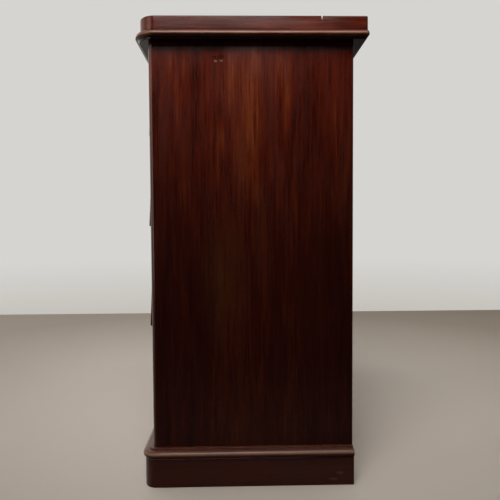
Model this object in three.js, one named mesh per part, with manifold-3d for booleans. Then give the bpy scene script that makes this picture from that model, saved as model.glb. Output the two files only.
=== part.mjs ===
// A mahogany chest of four graduated long drawers, put together as a cabinet maker does it:
// two solid sides with rounded front corners, a thick top over a moulded board, and a plinth
// under a half-round moulding. The drawers are dovetailed, and each has a lock and two knobs.
// Millimetres. X runs across the front, Y from front to back, and Z up from the floor.

import * as THREE from "three";
import { mergeVertices } from "three/addons/utils/BufferGeometryUtils.js";
import Module from "manifold-3d";

const wasm = await Module();
wasm.setup();

// Heights, from the floor up. The drawer rows are listed from the top one down.
const plinth_board_height = 61;
const base_moulding_height = 19;
const base_fillet_height = 3;
const bottom_reveal = 16;
const bottom_board_thickness = 20;
const row_heights = [167, 170, 193.5, 219.5];
const rail_thickness = 20;
const carcass_top_thickness = 21;
const cornice_height = 18;
const slab_height = 30;

// The carcass in plan
const carcass_width = 940;
const carcass_depth = 425;
const side_thickness = 20;
const side_corner_radius = 9;
const side_inner_arris = 2;
const back_rebate_depth = 12;
const back_rebate_width = 10;

// Clearances: glued and housed joints, and a cut's run past the face that it opens
const joint_gap = 0.3;
const overrun = 5;

// Rails, dustboards and the bottom between the sides
const rail_depth = 60;
const rail_setback = 1;
const tenon_length = 8;
const tenon_height = 10;
const tenon_setback = 12;
const tenon_width = 40;
const runner_width = 35;
const runner_housing = 6;
const dust_panel_thickness = 8;
const dust_panel_tongue = 6;
const bottom_housing = 8;
const stop_spacing = 600;
const stop_width = 40;
const stop_depth = 25;
const stop_height = 4;

// The back, of upright planks with a bead's groove at each meeting
const back_thickness = 11;
const plank_count = 6;
const plank_groove_width = 4;
const plank_groove_depth = 2;

// The top: a slab over a board with a rounded nose and a hollow under it
const slab_overhang = 17;
const slab_back_overhang = 27;
const slab_arris = 3;
const cornice_nose = 10;
const cornice_back_nose = 1;
const cornice_top_round = 8;
const cornice_fillet = 2;
const cornice_undercut = 8;
const top_corner_radius = 17;
const top_back_corner_radius = 5;

// The plinth, planted round the foot of the sides
const plinth_overhang = 17;
const base_moulding_nose = 5;
const base_fillet_overhang = 8;
const plinth_corner_radius = 8;
const glue_block_count = 6;
const glue_block_width = 60;
const glue_block_depth = 22;
const mitre_reach = 40;

// Dovetails
const tail_pitch = 45;
const tail_share = 0.8;
const tail_slope_share = 0.14;
const carcass_tail_pitch = 75;
const carcass_tail_length = 13;

// Drawers
const running_gap = 0.4;
const drawer_side_gap = 1.2;
const drawer_top_gap = 1.5;
const drawer_rear_gap = 15;
const front_thickness = 20;
const front_proud_top = 0.5;
const front_proud_bottoms = [2.9, 5.4, 6.1, 2.9];
const front_arris = 1.5;
const front_lap = 7;
const lining_thickness = 10;
const lining_drop = 4;
const drawer_back_drop = 6;
const drawer_bottom_thickness = 7;
const drawer_bottom_height = 8;
const drawer_groove_depth = 5;

// Knobs, turned in one piece with the shank that is glued into the front
const knob_spacing = 470;
const knob_radius = 22;
const knob_projection = 32;
const knob_head_half_height = 10;
const knob_neck_radius = 10;
const knob_foot_radius = 13;
const knob_foot_height = 3;
const knob_cove_height = 3;
const knob_shank_radius = 6;
const knob_shank_end_gap = 2;

// Lock, let into the back and the upper edge of the front
const lock_width = 60;
const lock_height = 40;
const lock_thickness = 10;
const selvage_depth = 14;
const selvage_thickness = 2;
const bolt_width = 24;
const bolt_thickness = 6;
const bolt_height = 16;
const bolt_setback = 2;
const bolt_mortise_depth = 8;
const bolt_mortise_gap = 1;

// Escutcheon, let into the face, with a blind keyhole
const keyhole_drop = 22;
const escutcheon_radius = 8;
const escutcheon_skirt = 17;
const escutcheon_foot_half = 6;
const escutcheon_let_in = 2.5;
const escutcheon_proud = 0.5;
const keyhole_radius = 3.4;
const keyhole_slot = 12;
const keyhole_foot_half = 2.4;
const keyhole_depth = 1.8;
const keyhole_neck_share = 0.5;

// Facets
const front_corner_steps = 8;
const back_corner_steps = 4;
const small_round_steps = 3;
const nose_steps = 5;
const cornice_curve_steps = 5;
const torus_steps = 8;
const front_face_steps = 6;
const knob_head_steps = 9;
const knob_facets = 18;
const hole_facets = 18;

// Levels worked out from the heights
const base_moulding_top = plinth_board_height + base_moulding_height;
const bottom_board_top = base_moulding_top + bottom_reveal;
const rows = [];
let level = bottom_board_top;
for (const height of [...row_heights].reverse()) {
  rows.unshift({ floor: level, height });
  level += height + rail_thickness;
}
const carcass_top_underside = level - rail_thickness;
const carcass_height = carcass_top_underside + carcass_top_thickness;
const slab_underside = carcass_height + cornice_height;
const overall_height = slab_underside + slab_height;

// Places in plan, with the carcass in the middle
const half_width = carcass_width / 2;
const inner_half = half_width - side_thickness;
const front_plane = -carcass_depth / 2;
const back_plane = carcass_depth / 2;
const rebate_plane = back_plane - back_rebate_depth;
const drawer_depth = carcass_depth - back_rebate_depth - drawer_rear_gap;
const drawer_half = inner_half - drawer_side_gap;

const finishes = {
  mahogany: { color: 0x35120b, roughness: 0.3, metalness: 0 },
  pine: { color: 0xa87c4c, roughness: 0.75, metalness: 0 },
  brass: { color: 0xb08d4a, roughness: 0.35, metalness: 1 },
  steel: { color: 0x5a5550, roughness: 0.5, metalness: 1 },
};

const span = (a, b) => [Math.min(a, b), Math.max(a, b)];

function solid_from(geometry) {
  const bare = new THREE.BufferGeometry();
  bare.setAttribute("position", geometry.getAttribute("position"));
  bare.setIndex(geometry.getIndex());
  const merged = mergeVertices(bare);
  return new wasm.Manifold(
    new wasm.Mesh({
      numProp: 3,
      vertProperties: merged.getAttribute("position").array,
      triVerts: new Uint32Array(merged.getIndex().array),
    }),
  );
}

function geometry_from(solid) {
  const { vertProperties, triVerts, numProp } = solid.getMesh();
  const indexed = new THREE.BufferGeometry();
  indexed.setAttribute("position", new THREE.BufferAttribute(vertProperties, numProp));
  indexed.setIndex(new THREE.BufferAttribute(triVerts, 1));
  const geometry = indexed.toNonIndexed();
  geometry.computeVertexNormals();
  return geometry;
}

function add_piece(group, name, geometry, finish) {
  const mesh = new THREE.Mesh(geometry, new THREE.MeshStandardMaterial(finishes[finish]));
  mesh.name = name;
  group.add(mesh);
  return mesh;
}

function board([x0, x1], [y0, y1], [z0, z1]) {
  const box = new THREE.BoxGeometry(x1 - x0, y1 - y0, z1 - z0);
  box.translate((x0 + x1) / 2, (y0 + y1) / 2, (z0 + z1) / 2);
  return solid_from(box);
}

function extruded(points, depth) {
  const shape = new THREE.Shape(points.map(([a, b]) => new THREE.Vector2(a, b)));
  return new THREE.ExtrudeGeometry(shape, { depth, bevelEnabled: false });
}

// An outline in X and Y, taken upwards
function prism_up(points, [z0, z1]) {
  return solid_from(extruded(points, z1 - z0).translate(0, 0, z0));
}

// An outline in Y and Z, taken across
function prism_across(points, [x0, x1]) {
  const turn = new THREE.Matrix4().makeBasis(
    new THREE.Vector3(0, 1, 0),
    new THREE.Vector3(0, 0, 1),
    new THREE.Vector3(1, 0, 0),
  );
  return solid_from(extruded(points, x1 - x0).applyMatrix4(turn).translate(x0, 0, 0));
}

// An outline in X and Z, taken from front to back
function prism_back(points, [y0, y1]) {
  const turn = new THREE.Matrix4().makeBasis(
    new THREE.Vector3(1, 0, 0),
    new THREE.Vector3(0, 0, 1),
    new THREE.Vector3(0, -1, 0),
  );
  return solid_from(extruded(points, y1 - y0).applyMatrix4(turn).translate(0, y1, 0));
}

// Points along an arc, both ends included
function arc(centre_a, centre_b, radius_a, radius_b, from, to, steps) {
  return Array.from({ length: steps + 1 }, (_, i) => {
    const angle = from + ((to - from) * i) / steps;
    return [centre_a + radius_a * Math.cos(angle), centre_b + radius_b * Math.sin(angle)];
  });
}

const quarter = Math.PI / 2;

// The carcass plan grown by an overhang: round at the front corners, nearly square behind
function plan_outline(overhang, back_overhang, front_radius, back_radius) {
  const x = half_width + overhang;
  const front = front_plane - overhang;
  const back = back_plane + back_overhang;
  const front_steps = front_corner_steps;
  const back_steps = back_corner_steps;
  const f = front_radius;
  const b = back_radius;
  return [
    ...arc(-x + f, front + f, f, f, -2 * quarter, -quarter, front_steps),
    ...arc(x - f, front + f, f, f, -quarter, 0, front_steps),
    ...arc(x - b, back - b, b, b, 0, quarter, back_steps),
    ...arc(-x + b, back - b, b, b, quarter, 2 * quarter, back_steps),
  ];
}

// A block built up from plan outlines at rising levels, all with as many points
function stacked_block(rings) {
  const count = rings[0].outline.length;
  const positions = rings.flatMap(({ outline, z }) => outline.flatMap(([x, y]) => [x, y, z]));
  const faces = [];
  for (let r = 0; r < rings.length - 1; r++) {
    for (let i = 0; i < count; i++) {
      const a = r * count + i;
      const b = r * count + ((i + 1) % count);
      faces.push(a, b, b + count, a, b + count, a + count);
    }
  }
  const contour = rings[0].outline.map(([x, y]) => new THREE.Vector2(x, y));
  const last = (rings.length - 1) * count;
  for (const [a, b, c] of THREE.ShapeUtils.triangulateShape(contour, [])) {
    faces.push(a, c, b, last + a, last + b, last + c);
  }
  const geometry = new THREE.BufferGeometry();
  geometry.setAttribute("position", new THREE.Float32BufferAttribute(positions, 3));
  geometry.setIndex(faces);
  return solid_from(geometry);
}

// The tails of one dovetail joint, shared out evenly along an edge
function tails_along(low, high, length, pitch_aim) {
  const count = Math.ceil((high - low) / pitch_aim);
  const pitch = (high - low) / count;
  const tip = (pitch * tail_share) / 2;
  const root = tip - length * tail_slope_share;
  return Array.from({ length: count }, (_, i) => ({ middle: low + pitch * i + pitch / 2, tip, root }));
}

// A tail's outline, as [along, across], from inside its board to its tip. Grown, it is a socket.
function tail_outline({ middle, tip, root }, shoulder, end, grow) {
  const way = Math.sign(end - shoulder);
  const near = shoulder - way * overrun;
  const far = end + way * grow;
  return [
    [near, middle - root - grow],
    [shoulder, middle - root - grow],
    [far, middle - tip - grow],
    [far, middle + tip + grow],
    [shoulder, middle + root + grow],
    [near, middle + root + grow],
  ];
}

const carcass = new THREE.Group();

// The top slab, with its arrises eased
const slab_corner = top_corner_radius + slab_overhang;
function slab_ring(inset, z) {
  const outline = plan_outline(
    slab_overhang - inset,
    slab_back_overhang - inset,
    slab_corner - inset,
    top_back_corner_radius - inset,
  );
  return { outline, z };
}
const slab_edge = arc(
  slab_arris, slab_arris, slab_arris, slab_arris, -2 * quarter, -quarter, small_round_steps,
);
const slab = stacked_block([
  ...[...slab_edge].reverse().map(([inset, rise]) => slab_ring(inset, slab_underside + rise)),
  ...slab_edge.map(([inset, rise]) => slab_ring(inset, overall_height - rise)),
]);
add_piece(carcass, "top_slab", geometry_from(slab), "mahogany");

// The board under the slab, with a nose and a hollow worked on its edge
const cornice_overhang = slab_overhang + cornice_nose;
const cornice_back_overhang = slab_back_overhang + cornice_back_nose;
const cornice_corner = top_corner_radius + cornice_overhang;
function cornice_ring(inset, z) {
  const outline = plan_outline(
    cornice_overhang - inset,
    cornice_back_overhang - inset,
    cornice_corner - inset,
    top_back_corner_radius,
  );
  return { outline, z };
}
const nose_top = slab_underside - cornice_top_round;
const nose_low = nose_top - cornice_fillet;
const hollow_height = nose_low - carcass_height;
const hollow = arc(0, carcass_height, cornice_undercut, hollow_height, 0, quarter, cornice_curve_steps);
const upper_round = arc(
  cornice_top_round, nose_top, cornice_top_round, cornice_top_round, 2 * quarter, quarter, nose_steps,
);
const cornice = stacked_block([...hollow, ...upper_round].map(([inset, z]) => cornice_ring(inset, z)));
add_piece(carcass, "top_moulding", geometry_from(cornice), "mahogany");

// The carcass top, lap-dovetailed down into the sides. The first drawer's bolt shoots into it.
const carcass_top_front = front_plane + rail_setback;
const carcass_top_back = rebate_plane - joint_gap;
const carcass_tails = tails_along(
  carcass_top_front, carcass_top_back, carcass_tail_length, carcass_tail_pitch,
);
const tail_tip = inner_half + carcass_tail_length;

// The place of a bolt's mortise in the rail over a drawer
const lock_plane = front_thickness - bolt_setback;
function bolt_mortise(underside) {
  const half = bolt_width / 2 + bolt_mortise_gap;
  const y = front_plane + lock_plane;
  return board(
    [-half, half],
    [y - bolt_thickness - bolt_mortise_gap, y + bolt_mortise_gap],
    [underside - overrun, underside + bolt_mortise_depth],
  );
}

let carcass_top = board(
  [-inner_half + joint_gap, inner_half - joint_gap],
  [carcass_top_front, carcass_top_back],
  [carcass_top_underside, carcass_height],
);
for (const hand of [-1, 1]) {
  for (const tail of carcass_tails) {
    const outline = tail_outline(tail, hand * (inner_half - joint_gap), hand * tail_tip, 0);
    carcass_top = carcass_top.add(prism_up(outline, [carcass_top_underside, carcass_height]));
  }
}
carcass_top = carcass_top.subtract(bolt_mortise(carcass_top_underside));
add_piece(carcass, "carcass_top", geometry_from(carcass_top), "mahogany");

// The rails between the drawers, tenoned into the sides, each with two glued stops
function drawer_stops(floor) {
  const near = front_plane + front_thickness + joint_gap;
  const stops = [-1, 1].map((hand) => {
    const middle = (hand * stop_spacing) / 2;
    return board(
      [middle - stop_width / 2, middle + stop_width / 2],
      [near, near + stop_depth],
      [floor - overrun, floor + stop_height],
    );
  });
  return stops[0].add(stops[1]);
}

const rail_back = front_plane + rail_setback + rail_depth;
const rail_levels = rows.slice(0, -1).map(({ floor }) => [floor - rail_thickness, floor]);
const middle_of = ([low, high]) => (low + high) / 2;

function tenon_block([low, high], grow, reach) {
  const middle = middle_of([low, high]);
  const near = front_plane + tenon_setback;
  return board(
    [-reach - grow, reach + grow],
    [near - grow, near + tenon_width + grow],
    [middle - tenon_height / 2 - grow, middle + tenon_height / 2 + grow],
  );
}

rail_levels.forEach(([low, high], i) => {
  const middle = middle_of([low, high]);
  const tongue = dust_panel_thickness / 2 + joint_gap;
  const rail = board(
    [-inner_half + joint_gap, inner_half - joint_gap],
    [front_plane + rail_setback, rail_back],
    [low, high],
  )
    .add(tenon_block([low, high], 0, inner_half + tenon_length))
    .add(drawer_stops(high))
    .subtract(bolt_mortise(low))
    .subtract(
      board(
        [-inner_half + runner_width, inner_half - runner_width],
        [rail_back - dust_panel_tongue, rail_back + overrun],
        [middle - tongue, middle + tongue],
      ),
    );
  add_piece(carcass, `drawer_rail_${i + 1}`, geometry_from(rail), "mahogany");
});

// The dustboards behind the rails: a thin panel between two runners housed in the sides
const dust_back = rebate_plane - joint_gap;
rail_levels.forEach(([low, high], i) => {
  const middle = middle_of([low, high]);
  const panel_half = inner_half - runner_width - joint_gap;
  let dustboard = board(
    [-panel_half, panel_half],
    [rail_back - dust_panel_tongue + joint_gap, dust_back],
    [middle - dust_panel_thickness / 2, middle + dust_panel_thickness / 2],
  );
  for (const hand of [-1, 1]) {
    const outer = hand * (inner_half + runner_housing - joint_gap);
    const runner = board(span(hand * panel_half, outer), [rail_back + joint_gap, dust_back], [low, high]);
    dustboard = dustboard.add(runner);
  }
  add_piece(carcass, `dustboard_${i + 1}`, geometry_from(dustboard), "pine");
});

// The bottom board, housed in the sides behind a notch at each front corner
const bottom_levels = [bottom_board_top - bottom_board_thickness, bottom_board_top];
const housed_half = inner_half + bottom_housing - joint_gap;
const notch_half = inner_half - joint_gap;
const notch_plane = front_plane + tenon_setback;
const bottom_outline = [
  [-notch_half, front_plane + rail_setback],
  [notch_half, front_plane + rail_setback],
  [notch_half, notch_plane],
  [housed_half, notch_plane],
  [housed_half, rebate_plane - joint_gap],
  [-housed_half, rebate_plane - joint_gap],
  [-housed_half, notch_plane],
  [-notch_half, notch_plane],
];
const bottom_board = prism_up(bottom_outline, bottom_levels).add(drawer_stops(bottom_board_top));
add_piece(carcass, "bottom_board", geometry_from(bottom_board), "mahogany");

// The sides. Each runs from the floor to the moulded board, and takes the ends of all the rest.
for (const [name, hand] of [["side_left", -1], ["side_right", 1]]) {
  const radius = side_corner_radius;
  const corner = arc(
    half_width - radius, front_plane + radius, radius, radius, -quarter, 0, front_corner_steps,
  );
  const plan = [
    ...corner,
    [half_width, back_plane],
    [half_width - side_thickness + back_rebate_width, back_plane],
    [half_width - side_thickness + back_rebate_width, rebate_plane],
    [inner_half, rebate_plane],
    [inner_half, front_plane + side_inner_arris],
    [inner_half + side_inner_arris, front_plane],
  ];
  let side = prism_up(plan.map(([x, y]) => [hand * x, y]), [0, carcass_height]);
  for (const tail of carcass_tails) {
    const outline = tail_outline(tail, hand * inner_half, hand * tail_tip, joint_gap);
    side = side.subtract(
      prism_up(outline, [carcass_top_underside - joint_gap, carcass_height + overrun]),
    );
  }
  for (const [low, high] of rail_levels) {
    side = side.subtract(tenon_block([low, high], joint_gap, inner_half + tenon_length));
    side = side.subtract(
      board(
        span(hand * (inner_half - overrun), hand * (inner_half + runner_housing)),
        [rail_back, rebate_plane + overrun],
        [low - joint_gap, high + joint_gap],
      ),
    );
  }
  side = side.subtract(
    board(
      span(hand * (inner_half - overrun), hand * (inner_half + bottom_housing)),
      [notch_plane - joint_gap, rebate_plane + overrun],
      [bottom_levels[0] - joint_gap, bottom_levels[1] + joint_gap],
    ),
  );
  add_piece(carcass, name, geometry_from(side), "mahogany");
}

// The back of upright planks, let into the rebates of the sides
const back_half = inner_half + back_rebate_width - joint_gap;
const back_face = rebate_plane + joint_gap;
const plank_width = (2 * back_half) / plank_count;
const plank_grooves = Array.from({ length: plank_count - 1 }, (_, i) => back_half - plank_width * (i + 1));
const back_outline = [
  [-back_half, back_face],
  [back_half, back_face],
  [back_half, back_face + back_thickness],
  ...plank_grooves.flatMap((x) => [
    [x + plank_groove_width / 2, back_face + back_thickness],
    [x, back_face + back_thickness - plank_groove_depth],
    [x - plank_groove_width / 2, back_face + back_thickness],
  ]),
  [-back_half, back_face + back_thickness],
];
const back_boards = prism_up(back_outline, [bottom_levels[0], carcass_height - joint_gap]);
add_piece(carcass, "back_boards", geometry_from(back_boards), "pine");

// The plinth boards and the moulding on them, a half-round with a fillet over it. Both are
// wrapped round the sides' corners and mitred at the front corners.
function wrapped(outer) {
  const grip = plan_outline(joint_gap, overrun, side_corner_radius + joint_gap, joint_gap);
  const behind = board(
    [-half_width - mitre_reach, half_width + mitre_reach],
    [back_plane, back_plane + mitre_reach],
    [-overrun, base_moulding_top + overrun],
  );
  return outer.subtract(prism_up(grip, [-overrun, base_moulding_top + overrun])).subtract(behind);
}

function mitre_wedge(grow) {
  const near = mitre_reach;
  return prism_up(
    [
      [-half_width + near, front_plane + near + grow],
      [-half_width - near, front_plane - near + grow],
      [half_width + near, front_plane - near + grow],
      [half_width - near, front_plane + near + grow],
    ],
    [-overrun, base_moulding_top + overrun],
  );
}

function in_three(wrap) {
  const sides = wrap.subtract(mitre_wedge(joint_gap));
  const flank = (hand) =>
    board(
      span(0, hand * (half_width + mitre_reach)),
      [front_plane - mitre_reach, back_plane + mitre_reach],
      [-overrun, base_moulding_top + overrun],
    );
  return {
    front: wrap.intersect(mitre_wedge(0)),
    left: sides.intersect(flank(-1)),
    right: sides.intersect(flank(1)),
  };
}

function plinth_ring(overhang, z) {
  return { outline: plan_outline(overhang, overrun, plinth_corner_radius + overhang, overrun), z };
}

const plinth_rings = [0, plinth_board_height].map((z) => plinth_ring(plinth_overhang, z));
const plinth = in_three(wrapped(stacked_block(plinth_rings)));
const block_pitch = (2 * inner_half) / glue_block_count;
for (let i = 0; i < glue_block_count; i++) {
  const middle = -inner_half + block_pitch * i + block_pitch / 2;
  const block = board(
    [middle - glue_block_width / 2, middle + glue_block_width / 2],
    [front_plane - plinth_overhang / 2, front_plane + glue_block_depth],
    [joint_gap, bottom_levels[0] - joint_gap],
  );
  const moulding_seat = board(
    [-inner_half, inner_half],
    [front_plane - plinth_overhang, front_plane],
    [plinth_board_height, bottom_levels[0] + overrun],
  );
  plinth.front = plinth.front.add(block.subtract(moulding_seat));
}
add_piece(carcass, "plinth_front", geometry_from(plinth.front), "mahogany");
add_piece(carcass, "plinth_left", geometry_from(plinth.left), "mahogany");
add_piece(carcass, "plinth_right", geometry_from(plinth.right), "mahogany");

const plinth_back = board(
  [-back_half, back_half],
  [back_face, back_plane],
  [0, bottom_levels[0] - joint_gap],
);
add_piece(carcass, "plinth_back", geometry_from(plinth_back), "pine");

const torus_radius = (base_moulding_height - base_fillet_height) / 2;
const torus_out = plinth_overhang + base_moulding_nose - torus_radius;
const torus_level = plinth_board_height + torus_radius;
const torus_curve = arc(torus_out, torus_level, torus_radius, torus_radius, -quarter, quarter, torus_steps);
const fillet_levels = [torus_level + torus_radius, base_moulding_top];
const base_moulding_curve = [...torus_curve, ...fillet_levels.map((z) => [base_fillet_overhang, z])];
const base_moulding = in_three(
  wrapped(stacked_block(base_moulding_curve.map(([overhang, z]) => plinth_ring(overhang, z)))),
);
add_piece(carcass, "base_moulding_front", geometry_from(base_moulding.front), "mahogany");
add_piece(carcass, "base_moulding_left", geometry_from(base_moulding.left), "mahogany");
add_piece(carcass, "base_moulding_right", geometry_from(base_moulding.right), "mahogany");

// A knob's profile, as radius and height from the face that its foot stands on
function knob_profile() {
  const head_level = knob_projection - knob_head_half_height;
  const shank_end = front_thickness - knob_shank_end_gap;
  const neck_angle = -Math.acos(knob_neck_radius / knob_radius);
  const head = arc(0, head_level, knob_radius, knob_head_half_height, neck_angle, quarter, knob_head_steps);
  head[head.length - 1][0] = 0;
  return [
    [0, -shank_end],
    [knob_shank_radius, -shank_end],
    [knob_shank_radius, 0],
    [knob_foot_radius, 0],
    [knob_foot_radius, knob_foot_height],
    [knob_neck_radius, knob_foot_height + knob_cove_height],
    ...head,
  ];
}

function cylinder_back(x, z, radius, [y0, y1]) {
  const round = new THREE.CylinderGeometry(radius, radius, y1 - y0, hole_facets);
  return solid_from(round.translate(x, (y0 + y1) / 2, z));
}

// A keyhole's outline, and a plate's of the same form: a round head over a widening skirt
function keyhole_outline(radius, skirt, foot_half, grow) {
  const half_angle = Math.asin((foot_half * keyhole_neck_share) / radius);
  const round = radius + grow;
  const head = arc(0, 0, round, round, -quarter + half_angle, 3 * quarter - half_angle, hole_facets);
  return [...head, [-foot_half - grow, -skirt - grow], [foot_half + grow, -skirt - grow]];
}

// One drawer, from its row's floor and the carcass's front plane. The front kicks out a little
// towards its lower edge, each by its own amount.
function drawer(number, height, front_proud_bottom) {
  const group = new THREE.Group();
  const name = (piece) => `drawer_${number}_${piece}`;
  const low = running_gap;
  const high = height - drawer_top_gap;
  const proud_at = (z) => {
    const share = (high - z) / (high - low);
    return front_proud_top + (front_proud_bottom - front_proud_top) * share * share;
  };
  const lining_top = high - lining_drop;
  const side_shoulder = front_thickness + joint_gap;
  const socket_end = front_lap;
  const front_tails = tails_along(low, lining_top, front_thickness - front_lap, tail_pitch);
  const groove_low = low + drawer_bottom_height;
  const groove = [groove_low, groove_low + drawer_bottom_thickness + 2 * joint_gap];
  const back_levels = [groove[1], lining_top - drawer_back_drop];
  const back_near = drawer_depth - lining_thickness;
  const back_tails = tails_along(back_levels[0], back_levels[1], lining_thickness, tail_pitch);
  const socket_span = (hand) =>
    span(hand * (drawer_half - lining_thickness - joint_gap), hand * (drawer_half + overrun));
  const knob_level = (low + high) / 2;
  const key_level = high - keyhole_drop;

  // The front
  const face = Array.from({ length: front_face_steps }, (_, i) => {
    const z = high - ((high - low - front_arris) * i) / (front_face_steps - 1);
    return [-proud_at(z), z];
  });
  const section = [
    [front_thickness, low],
    [front_thickness, high],
    ...face,
    [-proud_at(low) + front_arris, low],
  ];
  let front = prism_across(section, [-drawer_half, drawer_half]);
  for (const hand of [-1, 1]) {
    for (const tail of front_tails) {
      const outline = tail_outline(tail, side_shoulder, socket_end, joint_gap);
      front = front.subtract(prism_across(outline, socket_span(hand)));
    }
    const hole = cylinder_back(
      (hand * knob_spacing) / 2,
      knob_level,
      knob_shank_radius + joint_gap,
      [-front_proud_bottom - overrun, front_thickness + overrun],
    );
    front = front.subtract(hole);
  }
  const bottom_half = drawer_half - lining_thickness + drawer_groove_depth;
  front = front.subtract(
    board(
      [-bottom_half, bottom_half],
      [front_thickness - drawer_groove_depth, front_thickness + overrun],
      groove,
    ),
  );
  const lock_half = lock_width / 2;
  const lock_block = (grow, past) =>
    board(
      [-lock_half - grow, lock_half + grow],
      [front_thickness - lock_thickness - grow, front_thickness + past],
      [high - lock_height - grow, high + past],
    ).add(
      board(
        [-lock_half - grow, lock_half + grow],
        [front_thickness - selvage_depth - grow, front_thickness + past],
        [high - selvage_thickness - grow, high + past],
      ),
    );
  front = front.subtract(lock_block(joint_gap, overrun));

  const plate_face = -proud_at(key_level - escutcheon_skirt) - escutcheon_proud;
  const plate_back = plate_face + escutcheon_proud + escutcheon_let_in;
  const raised = (outline) => outline.map(([x, z]) => [x, z + key_level]);
  const plate = (grow) =>
    raised(keyhole_outline(escutcheon_radius, escutcheon_skirt, escutcheon_foot_half, grow));
  front = front.subtract(prism_back(plate(joint_gap), [plate_face - overrun, plate_back + joint_gap]));
  add_piece(group, name("front"), geometry_from(front), "mahogany");

  // The sides, dovetailed to the front and the back and grooved for the bottom
  for (const [side_name, hand] of [["side_left", -1], ["side_right", 1]]) {
    const across = span(hand * (drawer_half - lining_thickness), hand * drawer_half);
    let side = board(across, [side_shoulder, back_near - joint_gap], [low, lining_top])
      .add(board(across, [side_shoulder, drawer_depth], [low, back_levels[0] - joint_gap]))
      .add(board(across, [side_shoulder, drawer_depth], [back_levels[1] + joint_gap, lining_top]));
    for (const tail of front_tails) {
      side = side.add(prism_across(tail_outline(tail, side_shoulder, socket_end, 0), across));
    }
    for (const tail of back_tails) {
      side = side.add(prism_across(tail_outline(tail, back_near - joint_gap, drawer_depth, 0), across));
    }
    const inner = drawer_half - lining_thickness;
    side = side.subtract(
      board(
        span(hand * (inner - overrun), hand * (inner + drawer_groove_depth)),
        [0, drawer_depth + overrun],
        groove,
      ),
    );
    add_piece(group, name(side_name), geometry_from(side), "pine");
  }

  // The back, with its pins between the sides' tails
  let back = board([-drawer_half, drawer_half], [back_near, drawer_depth], back_levels);
  for (const hand of [-1, 1]) {
    for (const tail of back_tails) {
      const outline = tail_outline(tail, back_near, drawer_depth, joint_gap);
      back = back.subtract(prism_across(outline, socket_span(hand)));
    }
  }
  add_piece(group, name("back"), geometry_from(back), "pine");

  // The bottom, slid in from behind under the back
  const bottom = board(
    [-bottom_half + joint_gap, bottom_half - joint_gap],
    [front_thickness - drawer_groove_depth + joint_gap, drawer_depth],
    [groove[0] + joint_gap, groove[1] - joint_gap],
  );
  add_piece(group, name("bottom"), geometry_from(bottom), "pine");

  // The knobs
  const seat = -proud_at(knob_level - knob_foot_radius) - joint_gap;
  const profile = knob_profile().map(([radius, rise]) => new THREE.Vector2(radius, rise));
  for (const [knob_name, hand] of [["knob_left", -1], ["knob_right", 1]]) {
    const knob = add_piece(group, name(knob_name), new THREE.LatheGeometry(profile, knob_facets), "mahogany");
    knob.position.set((hand * knob_spacing) / 2, seat, knob_level);
    knob.rotation.z = 2 * quarter;
  }

  // The escutcheon
  const key_slot = raised(keyhole_outline(keyhole_radius, keyhole_slot, keyhole_foot_half, 0));
  const escutcheon = prism_back(plate(0), [plate_face, plate_back]).subtract(
    prism_back(key_slot, [plate_face - overrun, plate_face + keyhole_depth]),
  );
  add_piece(group, name("escutcheon"), geometry_from(escutcheon), "brass");

  // The lock and its bolt, which rises from the selvage
  const bolt_half = bolt_width / 2;
  const bolt_block = (grow, past) =>
    board(
      [-bolt_half - grow, bolt_half + grow],
      [lock_plane - bolt_thickness - grow, lock_plane + grow],
      [high - bolt_height - grow, high + past],
    );
  const lock = lock_block(0, 0).subtract(bolt_block(joint_gap, overrun));
  add_piece(group, name("lock"), geometry_from(lock), "brass");
  add_piece(group, name("lock_bolt"), geometry_from(bolt_block(0, 0)), "steel");

  return { group, reach: -seat + knob_projection };
}

const drawers = rows.map(({ floor, height }, i) => {
  const made = drawer(i + 1, height, front_proud_bottoms[i]);
  made.group.position.set(0, front_plane, floor);
  carcass.add(made.group);
  return made;
});

// The whole chest stands with the middle of its own depth, knobs included, over the origin
const knob_reach = Math.max(...drawers.map(({ reach }) => reach));
const front_reach = -front_plane + Math.max(knob_reach, cornice_overhang);
const back_reach = back_plane + cornice_back_overhang;
carcass.position.y = (front_reach - back_reach) / 2;

const chest = new THREE.Group();
chest.add(carcass);

export default chest;
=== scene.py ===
# A mahogany chest of four long drawers, dressed in the order in which it was put together: sides,
# frame, back, plinth and top, then the drawers with their brass and knobs. The floor, the light
# and the camera come last. Metres: X runs across the front, Y from front to back, Z up.

from math import acos, cos, pi, radians, sin

import bmesh
import bpy
from mathutils import Matrix, Vector


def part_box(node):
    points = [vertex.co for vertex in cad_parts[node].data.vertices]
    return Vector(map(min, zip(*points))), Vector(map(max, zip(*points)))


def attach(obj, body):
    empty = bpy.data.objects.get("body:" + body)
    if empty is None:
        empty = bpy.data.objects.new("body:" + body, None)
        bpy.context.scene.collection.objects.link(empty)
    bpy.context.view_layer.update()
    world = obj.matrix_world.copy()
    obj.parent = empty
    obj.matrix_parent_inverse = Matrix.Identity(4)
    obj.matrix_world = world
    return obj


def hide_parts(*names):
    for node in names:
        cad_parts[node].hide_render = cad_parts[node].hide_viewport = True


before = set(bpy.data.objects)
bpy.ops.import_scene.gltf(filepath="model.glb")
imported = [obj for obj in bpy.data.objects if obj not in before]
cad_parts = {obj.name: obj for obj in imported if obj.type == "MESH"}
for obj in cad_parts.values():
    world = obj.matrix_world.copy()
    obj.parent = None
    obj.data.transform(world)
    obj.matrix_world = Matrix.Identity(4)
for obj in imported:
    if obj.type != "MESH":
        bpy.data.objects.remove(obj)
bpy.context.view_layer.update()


# The two sides. Each is one wide mahogany board with upright grain, its front corner planed
# round. It was stained, filled and French-polished, and its arrises have worn since.

side_arris = 0.0008
arris_steps = 2
arris_angle = radians(25)
weld_distance = 1e-6
flat_angle = radians(0.05)

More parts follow.
